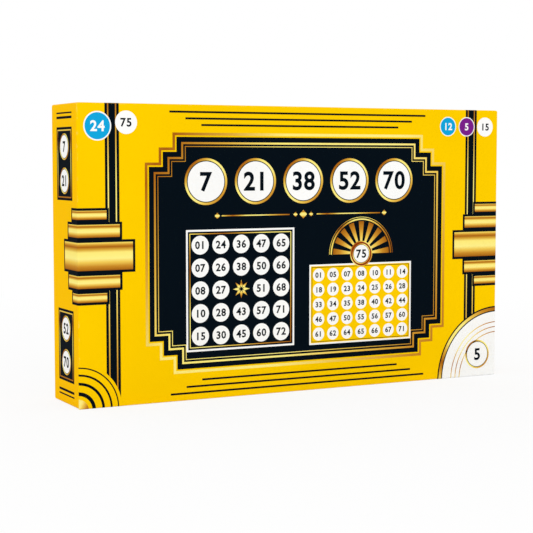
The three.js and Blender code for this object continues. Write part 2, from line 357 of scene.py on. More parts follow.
def uncoatedPaper(name, hexCode):
    # copier-weight paper: matt, with a soft tooth
    material, tree, shader, _, tooth = startMaterial(name, 1.5, 0.15, (0.45, 4))
    mottleFinish(tree, shader, tooth, srgb(hexCode), darker(hexCode, 0.93), 0.35, 0.65)
    evenFinish(tree, shader, tooth, {"rough": (0.8, 0.92), "relief": (0.03, 0.4)})
    return material


inks = ("yellow", "black", "white", "cyan", "purple", "red", "grey")
finishes = {ink: laminatedPrint(f"laminated print {ink}", printSet[ink])[0] for ink in inks}
finishes["gold"] = goldPrint("laminated print gold")
print("print finishes ready")


# the lid's net: u runs along the front from its left edge, v up from its lower edge, in mm;
# past those edges they go on round the rounded fold onto the sides

lidLow, lidHigh = nodeBox("lid")
baseLow, baseHigh = nodeBox("base")
box = {
    "wide": lidHigh.x - lidLow.x,
    "tall": lidHigh.z - lidLow.z,
    "deep": lidHigh.y - lidLow.y,
    "fold": 1.1,             # mm, radius of the lid's folded edges
    "foldSteps": 4,
    "layer": 0.025,          # mm, step from one layer of print to the next
    "film": 0.018,           # mm, thickness of a layer
    "sliver": 1e-6,          # square mm, a smaller part of a shape is left out
}


def foldOver(at, length, lift):
    # along the front and back from its plane, for a distance along the net
    radius = box["fold"]
    if at > length / 2:
        along, depth = foldOver(length - at, length, lift)
        return length - along, depth
    if at < -radius:
        return -lift, -at
    if at > radius:
        return at, -lift
    angle = (at + radius) / (2 * radius) * math.pi / 2
    return radius - (radius + lift) * math.cos(angle), radius - (radius + lift) * math.sin(angle)


def lidPlace(u, v, lift):
    alongU, depthU = foldOver(u, box["wide"], lift)
    alongV, depthV = foldOver(v, box["tall"], lift)
    return Vector((lidLow.x + alongU, lidLow.y + max(depthU, depthV), lidLow.z + alongV)) * mm


def foldCuts(length):
    radius, steps = box["fold"], box["foldSteps"]
    near = [radius * (2 * step / steps - 1) for step in range(steps + 1)]
    return near + [length - cut for cut in near]


lidPanel = {"body": "lid", "slot": "printed_wrap", "place": lidPlace,
            "cuts": (foldCuts(box["wide"]), foldCuts(box["tall"]))}


def flatPanel(body, slotName, origin, right, up):
    origin, right, up = Vector(origin), Vector(right), Vector(up)
    out = right.cross(up)
    return {"body": body, "slot": slotName, "cuts": ((), ()),
            "place": lambda u, v, lift: (origin + right * u + up * v + out * lift) * mm}


# print: each shape is filled into the pot of its ink, and each pot becomes one thin mesh

pots = {}


def splitAt(points, axis, value):
    # cuts a convex outline along one line of the net
    parts = ([], [])
    for first, second in zip(points, points[1:] + points[:1]):
        side = first[axis] > value
        parts[side].append(first)
        if side != (second[axis] > value):
            share = (value - first[axis]) / (second[axis] - first[axis])
            middle = tuple(a + (b - a) * share for a, b in zip(first, second))
            parts[0].append(middle)
            parts[1].append(middle)
    return [part for part in parts if len(part) > 2]


def signedArea(points):
    return sum(a[0] * b[1] - b[0] * a[1] for a, b in zip(points, points[1:] + points[:1])) / 2


def potPoint(pot, place, value):
    # one point for each place and shade, so that a shape's parts join into one clean film
    key = (*(round(c / mm, 4) for c in place), round(value, 4))
    if key not in pot["known"]:
        pot["known"][key] = len(pot["points"])
        pot["points"].append(tuple(place))
        pot["shades"].append(value)
    return pot["known"][key]


def fillConvex(panel, ink, points, layer, shade=None):
    # shade gives a point's place in the gold run, from 0 to 1
    outline = [(u, v, shade(u, v) if shade else 0.5) for u, v in points]
    if signedArea(outline) < 0:
        outline.reverse()
    pieces = [outline]
    for axis in (0, 1):
        low, high = min(p[axis] for p in outline), max(p[axis] for p in outline)
        for cut in panel["cuts"][axis]:
            if low < cut < high:
                pieces = [part for piece in pieces for part in splitAt(piece, axis, cut)]
    pot = pots.setdefault((panel["body"], ink, panel["slot"]),
                          {"points": [], "shades": [], "known": {}, "faces": []})
    for piece in pieces:
        corners = [potPoint(pot, panel["place"](u, v, layer * box["layer"]), value) for u, v, value in piece]
        corners = [corner for index, corner in enumerate(corners) if corner != corners[index - 1]]
        if len(corners) > 2:
            pot["faces"].append(corners)


def fillShape(panel, ink, outline, layer, shade=None):
    triangles = geometry.tessellate_polygon([[Vector((u, v, 0)) for u, v in outline]])
    for triangle in triangles:
        corners = [outline[index] for index in triangle]
        if abs(signedArea(corners)) > box["sliver"]:
            fillConvex(panel, ink, corners, layer, shade)


def fillBand(panel, ink, outer, inner, layer, shade, closed=True):
    # strip between two outlines of as many points
    count = len(outer)
    for index in range(count if closed else count - 1):
        following = (index + 1) % count
        quad = [outer[index], outer[following], inner[following], inner[index]]
        fillConvex(panel, ink, quad, layer, shade)


def rectangle(u0, v0, u1, v1):
    return [(u0, v0), (u1, v0), (u1, v1), (u0, v1)]


def disc(u, v, radius, steps, start=0, turn=360):
    # a full round, or an arc where turn is less than 360 degrees
    count = steps if turn == 360 else steps + 1
    angles = [math.radians(start + turn * index / steps) for index in range(count)]
    return [(u + radius * math.cos(a), v + radius * math.sin(a)) for a in angles]


def fillRing(panel, ink, u, v, outer, inner, layer, shade, steps, start=0, turn=360):
    edges = [disc(u, v, radius, steps, start, turn) for radius in (outer, inner)]
    fillBand(panel, ink, *edges, layer, shade, turn == 360)


def turned(points, centre, degrees):
    c, s = math.cos(math.radians(degrees)), math.sin(math.radians(degrees))
    return [(centre[0] + (u - centre[0]) * c - (v - centre[1]) * s,
             centre[1] + (u - centre[0]) * s + (v - centre[1]) * c) for u, v in points]


def insetOutline(points, distance):
    # mitred: each side moves inwards by the distance, for an outline drawn anticlockwise
    found = []
    count = len(points)
    for index in range(count):
        before, here, after = (Vector(points[(index + step) % count]) for step in (-1, 0, 1))
        first, second = (here - before).normalized(), (after - here).normalized()
        firstIn, secondIn = Vector((-first.y, first.x)), Vector((-second.y, second.x))
        corner = (firstIn + secondIn) / (1 + firstIn.dot(secondIn))
        found.append(tuple(here + corner * distance))
    return found


def frameLine(panel, ink, outline, inset, width, layer, shade):
    fillBand(panel, ink, insetOutline(outline, inset), insetOutline(outline, inset + width), layer, shade)


def acrossRun(start, end, axis=1):
    # the gold run from one place to another along an axis
    return lambda *at: min(1, max(0, (at[axis] - start) / (end - start)))


def slantRun(u0, v0, u1, v1):
    # the gold run along a slanting line from one place to another
    way = Vector((u1 - u0, v1 - v0))
    return lambda u, v: min(1, max(0, (Vector((u - u0, v - v0)).dot(way)) / way.length_squared))


def thinLine(panel, ink, start, end, v, half, layer):
    u0, u1 = sorted((start, end))
    fillConvex(panel, ink, rectangle(u0, v - half, u1, v + half), layer, acrossRun(u0, u1, 0))


digitSet = {
    "bold": 0.028,
    "advance": 1.1,          # width of a digit and its gap, shares of the nought's width
    "fine": 6,               # steps of a curve
    "coarse": 2,
    "sliver": 1e-7,          # square mm
}


def digitShapes(resolution):
    # the ten digits as flat triangles, one unit tall about their middle
    shapes = {}
    for digit in "0123456789":
        curve = bpy.data.curves.new("digit", "FONT")
        curve.body = digit
        curve.resolution_u = resolution
        curve.offset = digitSet["bold"]
        holder = addObject("digit", curve)
        graph = bpy.context.evaluated_depsgraph_get()
        mesh = bpy.data.meshes.new_from_object(holder.evaluated_get(graph))
        shapes[digit] = ([tuple(vertex.co[:2]) for vertex in mesh.vertices],
                         [list(face.vertices) for face in mesh.polygons])
        bpy.data.objects.remove(holder)
        bpy.data.curves.remove(curve)
        bpy.data.meshes.remove(mesh)
    widths, heights = zip(*shapes["0"][0])
    tall, middle = max(heights) - min(heights), (max(heights) + min(heights)) / 2
    wide = (max(widths) - min(widths)) / tall
    for digit, (points, faces) in shapes.items():
        centre = (max(u for u, v in points) + min(u for u, v in points)) / 2
        shapes[digit] = ([((u - centre) / tall, (v - middle) / tall) for u, v in points], faces)
    return {"shapes": shapes, "advance": wide * digitSet["advance"]}


fineDigits = digitShapes(digitSet["fine"])
coarseDigits = digitShapes(digitSet["coarse"])


def addNumber(panel, ink, number, u, v, height, layer, digits=fineDigits):
    advance = digits["advance"] * height
    for index, digit in enumerate(number):
        shift = (index - (len(number) - 1) / 2) * advance
        points, faces = digits["shapes"][digit]
        placed = [(u + shift + x * height, v + y * height) for x, y in points]
        for face in faces:
            corners = [placed[corner] for corner in face]
            if abs(signedArea(corners)) > digitSet["sliver"]:
                fillConvex(panel, ink, corners, layer)


def steppedOutline(u0, v0, u1, v1, step):
    # a rectangle whose corners step in twice
    run = [(0, 2), (1, 2), (1, 1), (2, 1), (2, 0)]
    outline = []
    for index, (sideU, sideV) in enumerate([(0, 0), (1, 0), (1, 1), (0, 1)]):
        for a, b in (run if index % 2 == 0 else run[::-1]):
            outline.append((u1 - a * step if sideU else u0 + a * step,
                            v1 - b * step if sideV else v0 + b * step))
    return outline


def steppedPanel(panel, outline, frames, layer, run):
    # a black panel with gold lines along its edge; frames gives their insets and widths
    fillShape(panel, "black", outline, layer)
    for inset, width in frames:
        frameLine(panel, "gold", outline, inset, width, layer + 1, run)


ballSet = {
    "discs": [("gold", 1), ("black", 0.9), ("white", 0.86)],     # shares of its radius
    "digits": 0.84,
    "row": ("7", "21", "38", "52", "70"),
}


def pileDiscs(panel, u, v, discs, layer, steps=56):
    # discs of ink and radius, one on another
    for index, (ink, radius) in enumerate(discs):
        run = slantRun(u - radius, v + radius, u + radius, v - radius)
        fillConvex(panel, ink, disc(u, v, radius, steps), layer + index, run)


def numberBall(panel, number, u, v, radius, layer):
    # white disc in a gold ring, with a plain number
    discs = [(ink, radius * share) for ink, share in ballSet["discs"]]
    pileDiscs(panel, u, v, discs, layer)
    addNumber(panel, "black", number, u, v, radius * ballSet["digits"], layer + len(discs))


def ballRow(panel, u, v, pitch, radius, layer):
    for index, number in enumerate(ballSet["row"]):
        numberBall(panel, number, u + (index - 2) * pitch, v, radius, layer)


placeSet = {"digits": 0.86, "steps": 28}


def drawGrid(panel, numbers, corner, pitch, radius, layer, digits=fineDigits):
    # columns of white discs, each with its number; None leaves a place free for a gold star
    for column, members in enumerate(numbers):
        for row, number in enumerate(members):
            u, v = corner[0] + column * pitch[0], corner[1] - row * pitch[1]
            if number is None:
                drawStar(panel, u, v, radius, layer)
                continue
            fillConvex(panel, "white", disc(u, v, radius, placeSet["steps"]), layer)
            addNumber(panel, "black", f"{number:02d}", u, v, radius * placeSet["digits"], layer + 1, digits)


def sideLines(panel, ink, u, v, away, lengths, pitch, half, layer):
    # a row of thin lines on each side of a middle
    for way in (-1, 1):
        for index, length in enumerate(lengths):
            start, row = u + way * away, v + (index - (len(lengths) - 1) / 2) * pitch
            thinLine(panel, ink, start, start + way * length, row, half, layer)


starSet = {"points": 8, "root": 0.16, "half": 0.16, "shoulder": 0.4}     # shares of its radius


def drawStar(panel, u, v, radius, layer):
    s = starSet
    shoulder = v + radius * s["shoulder"]
    ray = [(u, v + radius * s["root"]), (u + radius * s["half"], shoulder), (u, v + radius),
           (u - radius * s["half"], shoulder)]
    for index in range(s["points"]):
        outline = turned(ray, (u, v), index * 360 / s["points"])
        fillShape(panel, "gold", outline, layer, acrossRun(v + radius, v - radius))


def cardNumbers():
    # five columns, each from its own fifteen numbers, with the middle place free
    columns = [sorted(random.sample(range(15 * c + 1, 15 * c + 16), 5)) for c in range(5)]
    columns[2][2] = None
    return columns


def allNumbers():
    # fifteen columns of five: all 75 numbers, row by row
    return [[row * 15 + column + 1 for row in range(5)] for column in range(15)]


# the lid's front

bandSet = {
    "strips": [("black", 23, 35, 0.5), ("gold", 25.2, 26.2, 1), ("gold", 31.8, 32.8, 1)],    # from, to, layer
    "run": (264, -24),       # from where to where the gold runs
}


def frontBands():
    # a black band down each end of the front and over the top, with two gold lines along it
    run = acrossRun(*bandSet["run"])
    for mirrored in (False, True):
        for ink, u0, u1, layer in bandSet["strips"]:
            if mirrored:
                u0, u1 = box["wide"] - u1, box["wide"] - u0
            fillConvex(lidPanel, ink, rectangle(u0, box["fold"], u1, box["tall"] + box["deep"]), layer, run)


frontSet = {
    "panel": (60, 26, 340, 214),
    "step": 12,
    "frames": [(-3.4, 2.2), (4.2, 1.6), (7.4, 0.6)],     # inset and width of each gold line
    "run": (0, 214, 360, -14),                           # from where to where the gold runs
    "balls": (200, 178, 45, 19),                         # middle of their row, pitch and radius
}
ruleSet = {
    "middle": (200, 150),
    "lines": (13, [63], 0, 0.45),     # away from the middle, lengths, pitch, half thickness
    "diamonds": [(0, 3.6), (-7.5, 2), (7.5, 2), (-80, 2.4), (80, 2.4)],
}


def frontPanel():
    s = frontSet
    steppedPanel(lidPanel, steppedOutline(*s["panel"], s["step"]), s["frames"], 2, slantRun(*s["run"]))
    ballRow(lidPanel, *s["balls"], 3)


def frontRule():
    # a thin gold rule with diamonds, under the balls
    u, v = ruleSet["middle"]
    sideLines(lidPanel, "gold", u, v, *ruleSet["lines"], 3)
    for shift, size in ruleSet["diamonds"]:
        fillConvex(lidPanel, "gold", disc(u + shift, v, size, 4), 3, acrossRun(v + size, v - size))


gridSet = {
    "corner": (104.5, 126.5),
    "pitch": (18.6, 18.6),
    "radius": 7.7,
    "edge": 12.5,
    "border": 1.6,
    "line": (3, 0.7),        # inset and width
}
stripSet = {
    "corner": (215, 98),
    "pitch": (14, 12.6),
    "radius": 5.6,
    "edge": 9,
    "border": 1.4,
    "line": (2.2, 0.5),
    "shown": 7,              # of each row's fifteen numbers
}


def drawSheet(s, columns, ink, lineInk, layer):
    # a small sheet with a white border and a thin line inside it
    u0, v1 = s["corner"]
    u1, v0 = u0 + (len(columns) - 1) * s["pitch"][0], v1 - 4 * s["pitch"][1]
    edge = s["edge"]
    outline = rectangle(u0 - edge, v0 - edge, u1 + edge, v1 + edge)
    fillConvex(lidPanel, "white", outline, layer)
    fillConvex(lidPanel, ink, insetOutline(outline, s["border"]), layer + 1)
    frameLine(lidPanel, lineInk, outline, *s["line"], layer + 2, slantRun(u0, v1, u1, v0))
    drawGrid(lidPanel, columns, s["corner"], s["pitch"], s["radius"], layer + 2, coarseDigits)


def frontGrid():
    # a card of five by five at the left
    drawSheet(gridSet, cardNumbers(), "black", "gold", 3)


def frontStrip():
    # a yellow strip at the right
    shown = stripSet["shown"]
    rows = [sorted(random.sample(range(15 * row + 1, 15 * row + 16), shown)) for row in range(5)]
    drawSheet(stripSet, list(zip(*rows)), "yellow", "black", 4)


fanSet = {
    "centre": (257, 115),
    "rays": (9, 11, 28, 0.6),                            # count, inner and outer radius, fade inwards
    "arcs": [(29.12, 1.26), (31.36, 0.448)],             # inner radius and width
    "discs": [("gold", 11.1), ("red", 10.2)],
    "ball": 8.8,
}


def frontFan():
    # a rising sun behind the strip: rays that fade outwards, under two gold arcs
    s = fanSet
    u, v = s["centre"]
    count, inner, outer, fade = s["rays"]
    sweep = 180 / (2 * count - 1)
    for index in range(count):
        start = 2 * index * sweep
        middle = math.radians(start + sweep / 2)
        reachU, reachV = outer * math.cos(middle), outer * math.sin(middle)
        run = slantRun(u - fade * reachU, v - fade * reachV, u + reachU, v + reachV)
        fillRing(lidPanel, "gold", u, v, outer, inner, 3, run, 4, start, sweep)
    for radius, width in s["arcs"]:
        run = acrossRun(u - radius, u + radius, 0)
        fillRing(lidPanel, "gold", u, v, radius + width, radius, 3, run, 40, 0, 180)
    pileDiscs(lidPanel, u, v, s["discs"], 8)
    numberBall(lidPanel, "75", u, v, s["ball"], 10)


barSet = {
    # reach on the side and on the front, and from where to where about the middle
    "bars": [(30, 46, -11, 11), (21, 35, 15, 25), (21, 35, -25, -15), (12, 24, 29, 36), (12, 24, -36, -29)],
    "edge": 2,
}


def endBars(edgeU, way):
    # gold bars folded over a short edge of the box, on black, longest in the middle
    middle, edge = box["tall"] / 2, barSet["edge"]
    for onSide, onFront, low, high in barSet["bars"]:
        u0, u1 = sorted((edgeU - way * onSide, edgeU + way * onFront))
        v0, v1 = middle + low, middle + high
        fillConvex(lidPanel, "black", rectangle(u0 - edge, v0 - edge, u1 + edge, v1 + edge), 2)
        fillConvex(lidPanel, "gold", rectangle(u0, v0, u1, v1), 3, acrossRun(v1, v0))


arcSet = {
    "rings": [(9, 0.01, "gold"), (15, 12, "black"), (22.5, 20.3, "black"), (29, 27.4, "black"),
              (34.5, 33.5, "black")],                    # outer and inner radius
    "room": 37,
}
moonSet = {
    "rings": [(64, "black"), (62.8, "gold"), (60, "black"), (59, "white")],
    "lines": (50, 45.5, 41),
    "width": 0.8,
    "ball": (21, 13),        # place from the corner, and radius
}


def cornerArcs():
    # quarter rings in the lower left corner, on yellow
    low = -box["fold"]
    fillShape(lidPanel, "yellow", [(low, low)] + disc(low, low, arcSet["room"], 24, 0, 90), 2)
    for radius, inner, ink in arcSet["rings"]:
        run = slantRun(low - radius, low + radius, low + radius, low)
        fillRing(lidPanel, ink, low, low, radius, inner, 3, run, 24, 0, 90)


def cornerMoon():
    # white quarter round in the lower right corner, with gold and black lines about it
    s = moonSet
    u, v = box["wide"] + box["fold"], -box["fold"]
    for index, (radius, ink) in enumerate(s["rings"]):
        run = slantRun(u - radius, v, u, v + radius)
        fillShape(lidPanel, ink, [(u, v)] + disc(u, v, radius, 40, 90, 90), 4 + index, run)
    for radius in s["lines"]:
        run = slantRun(u - radius, v, u, v + radius)
        fillRing(lidPanel, "gold", u, v, radius, radius - s["width"], 8, run, 32, 90, 90)
    away, radius = s["ball"]
    numberBall(lidPanel, "5", u - away, v + away, radius, 8)


discSet = {
    "discs": [(17, 222, 10.5, "cyan", "24"), (41, 225, 8.4, "white", "75"), (386, 225, 7.8, "white", "15"),
              (366, 225, 7.8, "purple", "5"), (346, 225, 7.8, "cyan", "12")],
    "rim": 1.1,              # shares of a disc's radius
    "digits": 0.82,
}
lineSet = [(6, 122, 0.8), (11.2, 108, 0.8), (16.4, 94, 0.8)]     # from the edge, half length, half thickness


def smallDiscs():
    # small coloured discs with plain numbers in the upper corners
    s = discSet
    for u, v, radius, ink, number in s["discs"]:
        pileDiscs(lidPanel, u, v, [("white", radius * s["rim"]), (ink, radius)], 4, 40)
        digitInk = "black" if ink == "white" else "white"
        addNumber(lidPanel, digitInk, number, u, v, radius * s["digits"], 6)


def edgeLines(u, lines):
    # thin black lines along the upper and the lower edge
    for away, reach, half in lines:
        for v in (away, box["tall"] - away):
            thinLine(lidPanel, "black", u - reach, u + reach, v, half, 1)


frontBands()
frontPanel()
frontRule()
frontGrid()
frontStrip()
frontFan()
endBars(0, 1)
endBars(box["wide"], -1)
cornerArcs()
cornerMoon()
smallDiscs()
edgeLines(box["wide"] / 2, lineSet)
print("front printed")


# the lid's sides; its underside stays bare, because the box stands on it

sideSet = {
    "panels": [(163.5, 221.5), (18.5, 76.5)],
    "half": 18,
    "frame": (2, 1),         # inset and width of the gold line
    "balls": [("7", 206), ("21", 179), ("52", 61), ("70", 34)],
    "radius": 10.5,
    "lines": [(11, 18, 1), (7.4, 18, 0.6)],     # from the edge, half length, half thickness
}
topSet = {
    "half": (104, 19),       # half length and half width of the panel
    "step": 5,
    "frames": [(2, 1)],
    "balls": (34, 12),       # pitch and radius
    "lines": (112, (46, 38, 30, 22), 8, 1.1),     # away from the middle, lengths, pitch, half thickness
}


def shortSide(middle):
    # two black panels with two balls each, above and below the bars, and thin lines at the ends
    s = sideSet
    for v0, v1 in s["panels"]:
        outline = rectangle(middle - s["half"], v0, middle + s["half"], v1)
        fillConvex(lidPanel, "black", outline, 1)
        frameLine(lidPanel, "gold", outline, *s["frame"], 2, slantRun(middle, v1, middle, v0))
    for number, v in s["balls"]:
        numberBall(lidPanel, number, middle, v, s["radius"], 3)
    edgeLines(middle, s["lines"])


def topSide(middle):
    # a black band with five balls, between lines
    s = topSet
    u, (halfU, halfV) = box["wide"] / 2, s["half"]
    outline = steppedOutline(u - halfU, middle - halfV, u + halfU, middle + halfV, s["step"])
    steppedPanel(lidPanel, outline, s["frames"], 1, slantRun(u - halfU, middle, u + halfU, middle))
    ballRow(lidPanel, u, middle, *s["balls"], 3)
    sideLines(lidPanel, "black", u, middle, *s["lines"], 1)


sideMiddle = box["deep"] / 2
shortSide(-sideMiddle)
shortSide(box["wide"] + sideMiddle)
topSide(box["tall"] + sideMiddle)
print("sides printed")


# the base's back: the ways to win, each as a small card with its places marked

patterns = [lambda c, r: r == 2, lambda c, r: c == 2, lambda c, r: c == r or c + r == 4,
            lambda c, r: c % 4 == 0 and r % 4 == 0, lambda c, r: c % 4 == 0 or r % 4 == 0, lambda c, r: True]
patternSet = {"edge": 0.45, "radius": 0.4, "steps": 20}     # shares of a cell


def drawPattern(panel, u, v, s, index, inks, layer):
    # one way to win, under its number; inks are those of the sheet, a bare place, a marked one and the number
    cell, (above, height) = s["cell"], s["number"]
    edge, radius = cell * patternSet["edge"], cell * patternSet["radius"]
    u0 = u - 2.5 * cell
    outline = rectangle(u0 - edge, v - edge, u0 + 5 * cell + edge, v + 5 * cell + edge)
    fillConvex(panel, inks[0], outline, layer)
    for column in range(5):
        for row in range(5):
            ink = inks[2] if patterns[index](column, row) else inks[1]
            at = (u0 + (column + 0.5) * cell, v + (row + 0.5) * cell)
            fillConvex(panel, ink, disc(*at, radius, patternSet["steps"]), layer + 1)
    addNumber(panel, inks[3], str(index + 1), u, v + above, height, layer)


backSet = {
    "panel": (28, 24),       # margins at the sides, and above and below
    "step": 10,
    "frames": [(-3.4, 2.2), (4.2, 1.4)],
    "cell": 7.4,
    "pitch": 51,
    "row": 50,               # foot of the patterns
    "number": (49.6, 8),     # middle above a pattern's foot, and height
    "balls": (156, 45, 17),  # height of their row, pitch and radius
}


def basePanel():
    s = backSet
    wide, tall = baseHigh.x - baseLow.x, baseHigh.z - baseLow.z
    panel = flatPanel("base", "base_wrap", (baseHigh.x, baseHigh.y, baseLow.z), (-1, 0, 0), (0, 0, 1))
    atSide, atEnd = s["panel"]
    outline = steppedOutline(atSide, atEnd, wide - atSide, tall - atEnd, s["step"])
    steppedPanel(panel, outline, s["frames"], 1, slantRun(0, tall, wide, 0))
    for index in range(len(patterns)):
        u = wide / 2 + (index - 2.5) * s["pitch"]
        drawPattern(panel, u, s["row"], s, index, ("white", "grey", "black", "white"), 2)
    ballRow(panel, wide / 2, *s["balls"], 2)


basePanel()
print("back printed")


# flat pieces of the set: their print is drawn on the face that looks out of the box

def facePanel(name, body, slotName):
    low, high = nodeBox(name)
    panel = flatPanel(body, slotName, (low.x, low.y, low.z), (1, 0, 0), (0, 0, 1))
    return panel, high.x - low.x, high.z - low.z


def dressFlat(name, faceFinish, edgeFinish):
    # one finish on the two faces, another on the cut edges
    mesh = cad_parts[name].data
    dress(mesh, (faceFinish, edgeFinish), [0 if abs(face.normal.y) > 0.5 else 1 for face in mesh.polygons])


cardSet = {
    "border": 4,
    "corner": (28, 156),
    "pitch": (33, 33),
    "radius": 13.2,
    "frame": (10, 8.5, 171.5, 0.9),      # margin, lower edge, upper edge, width
    "head": (196.5, 14.5),               # height and radius of the ball
    "lines": (19.5, (44, 36, 28), 7, 1.2),     # away from the middle, lengths, pitch, half thickness
}


def printCard(side, number):
    # a player's card: five by five white discs on black, with a free star in the middle
    s = cardSet
    panel, wide, tall = facePanel(f"card_{side}_12", f"cards_{side}", "card_print")
    sheet = rectangle(s["border"], s["border"], wide - s["border"], tall - s["border"])
    fillConvex(panel, "black", sheet, 1)
    edge, low, high, width = s["frame"]
    gridFrame = rectangle(edge, low, wide - edge, high)
    frameLine(panel, "gold", gridFrame, 0, width, 2, slantRun(0, high, wide, low))
    drawGrid(panel, cardNumbers(), s["corner"], s["pitch"], s["radius"], 2)
    head, radius = s["head"]
    numberBall(panel, number, wide / 2, head, radius, 2)
    sideLines(panel, "gold", wide / 2, head, *s["lines"], 2)


callerSet = {"border": 4, "line": (8, 0.9), "pitch": (24.4, 26), "radius": 10.4}


def printCallerBoard():
    # the caller's board: all 75 numbers on yellow
    s = callerSet
    panel, wide, tall = facePanel("caller_board", "caller", "caller_print")
    sheet = rectangle(s["border"], s["border"], wide - s["border"], tall - s["border"])
    fillConvex(panel, "yellow", sheet, 1)
    frameLine(panel, "black", rectangle(0, 0, wide, tall), *s["line"], 2, None)
    corner = (wide / 2 - 7 * s["pitch"][0], tall / 2 + 2 * s["pitch"][1])
    drawGrid(panel, allNumbers(), corner, s["pitch"], s["radius"], 2)


leafletSet = {
    "lines": [("black", 7, 0.5), ("gold", 8.6, 0.9)],     # inset and width
    "cell": 6.2,
    "pitch": (60, 62),
    "corner": (45, 86.5),    # foot of the first pattern
    "number": (40.9, 6),     # middle above a pattern's foot, and height
}


def printLeaflet():
    # the leaflet's front: a thin frame and the six ways to win
    s = leafletSet
    panel, wide, tall = facePanel("rules_leaflet", "leaflet", "leaflet_paper")
    for ink, inset, width in s["lines"]:
        frameLine(panel, ink, rectangle(0, 0, wide, tall), inset, width, 1, slantRun(0, tall, wide, 0))
    for index in range(len(patterns)):
        u = s["corner"][0] + index % 3 * s["pitch"][0]
        v = s["corner"][1] - index // 3 * s["pitch"][1]
        drawPattern(panel, u, v, s, index, ("black", "white", "yellow", "black"), 1)


coatedCard = laminatedPrint("coated card", "#f7f7f4")[0]
cardEdge = cutCard("cut greyboard edge", "#cfc8b8", 0.35)
boardEdge = cutCard("cut thick greyboard edge", "#b9b2a2", 0.6)
leafletPaper = uncoatedPaper("uncoated leaflet paper", "#f2f0ea")
for side, number in (("left", "12"), ("right", "24")):
    printCard(side, number)
    for index in range(12):
        dressFlat(f"card_{side}_{index + 1:02d}", coatedCard, cardEdge)
printCallerBoard()
dressFlat("caller_board", coatedCard, boardEdge)
printLeaflet()
dressFlat("rules_leaflet", leafletPaper, leafletPaper)
print("cards, board and leaflet printed")


# tokens and chips: the piles as separate discs, each a little out of line

pileSet = {"steps": 56, "gap": 0.04, "sway": 0.2, "sharp": 35}
tokenSet = {
    "piles": 5,
    "each": 15,
    "profile": [(0.965, 0), (1, 0.16), (1, 0.84), (0.965, 1)],     # radius and depth, shares of a disc's size
    "edges": (0, 1, 2),      # rings of the profile with the cut edge's finish
    "ring": (0.88, 0.79),
    "digits": 0.8,
}
chipSet = {
    "piles": 4,
    "each": 16,
    "profile": [(0.7, 0.3), (0.73, 0.03), (0.76, 0), (0.94, 0), (0.985, 0.06), (1, 0.25), (1, 0.75),
                (0.985, 0.94), (0.94, 1), (0.76, 1), (0.73, 0.97), (0.7, 0.7)],
    "edges": (),
    "colours": [("red", "#c8141c"), ("green", "#0f8a3c"), ("blue", "#1550b8"), ("amber", "#f08a00")],
}


def smoothShaded(mesh, sharp=None):
    # edges stay sharp from that angle on, in degrees
    mesh.polygons.foreach_set("use_smooth", [True] * len(mesh.polygons))
    if sharp:
        mesh.set_sharp_from_angle(angle=math.radians(sharp))


def stackDiscs(name, node, s, finishList, body):
    low, high = nodeBox(node)
    centre, radius = (low + high) / 2, (high.x - low.x) / 2 - pileSet["sway"]
    pitch = (high.y - low.y) / s["each"]
    points, faces, kinds = [], [], []
    steps, rings = pileSet["steps"], len(s["profile"])
    for index in range(s["each"]):
        sway = 0 if index == s["each"] - 1 else pileSet["sway"]
        turn = random.uniform(0, 2 * math.pi)
        middle = centre + Vector((math.cos(turn), 0, math.sin(turn))) * random.uniform(0, sway)
        start = len(points)
        for share, depth in s["profile"]:
            y = high.y - index * pitch - depth * (pitch - pileSet["gap"])
            for step in range(steps):
                angle = 2 * math.pi * step / steps
                points.append(Vector((middle.x + share * radius * math.cos(angle), y,
                                      middle.z + share * radius * math.sin(angle))) * mm)
        for ring in range(rings - 1):
            for step in range(steps):
                here, after = start + ring * steps + step, start + ring * steps + (step + 1) % steps
                faces.append((here, after, after + steps, here + steps))
                kinds.append(1 if ring in s["edges"] else 0)
        last = start + (rings - 1) * steps
        faces += [tuple(range(start + steps - 1, start - 1, -1)), tuple(range(last, last + steps))]
        kinds += [0, 0]
    mesh = newMesh(name, [tuple(p) for p in points], faces)
    dress(mesh, finishList, kinds)
    smoothShaded(mesh, pileSet["sharp"])
    piece = addObject(name, mesh)
    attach(piece, body)
    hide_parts(node)
    return Vector((centre.x, low.y, centre.z)), radius


def makeTokens():
    # card tokens; the front one of each pile shows its number
    s = tokenSet
    edge = cutCard("die-cut token edge", "#d9d3c4", 0.5)
    for index in range(s["piles"]):
        place, radius = stackDiscs(f"token_discs_{index + 1}", f"token_pile_{index + 1}", s,
                                   (coatedCard, edge), "tokens")
        panel = flatPanel("tokens", "token_card", place - Vector((radius, 0, radius)), (1, 0, 0), (0, 0, 1))
        number = str(random.randint(index * s["each"] + 1, (index + 1) * s["each"]))
        outer, inner = (radius * share for share in s["ring"])
        run = slantRun(0, 2 * radius, 2 * radius, 0)
        fillRing(panel, "gold", radius, radius, outer, inner, 1, run, 48)
        addNumber(panel, "black", number, radius, radius, radius * s["digits"], 1)


def makeChips():
    # moulded chips with a raised rim, one colour to a pile
    for index, (colour, hexCode) in enumerate(chipSet["colours"]):
        styrene = mouldedStyrene(f"moulded styrene {colour}", hexCode)
        stackDiscs(f"marker_discs_{index + 1}", f"marker_pile_{index + 1}", chipSet, (styrene,),
                   "markers")


makeTokens()
makeChips()
print("tokens and chips stacked")


# the insert tray: one formed sheet, drawn with rounder pockets than its solid and a lip at each mouth

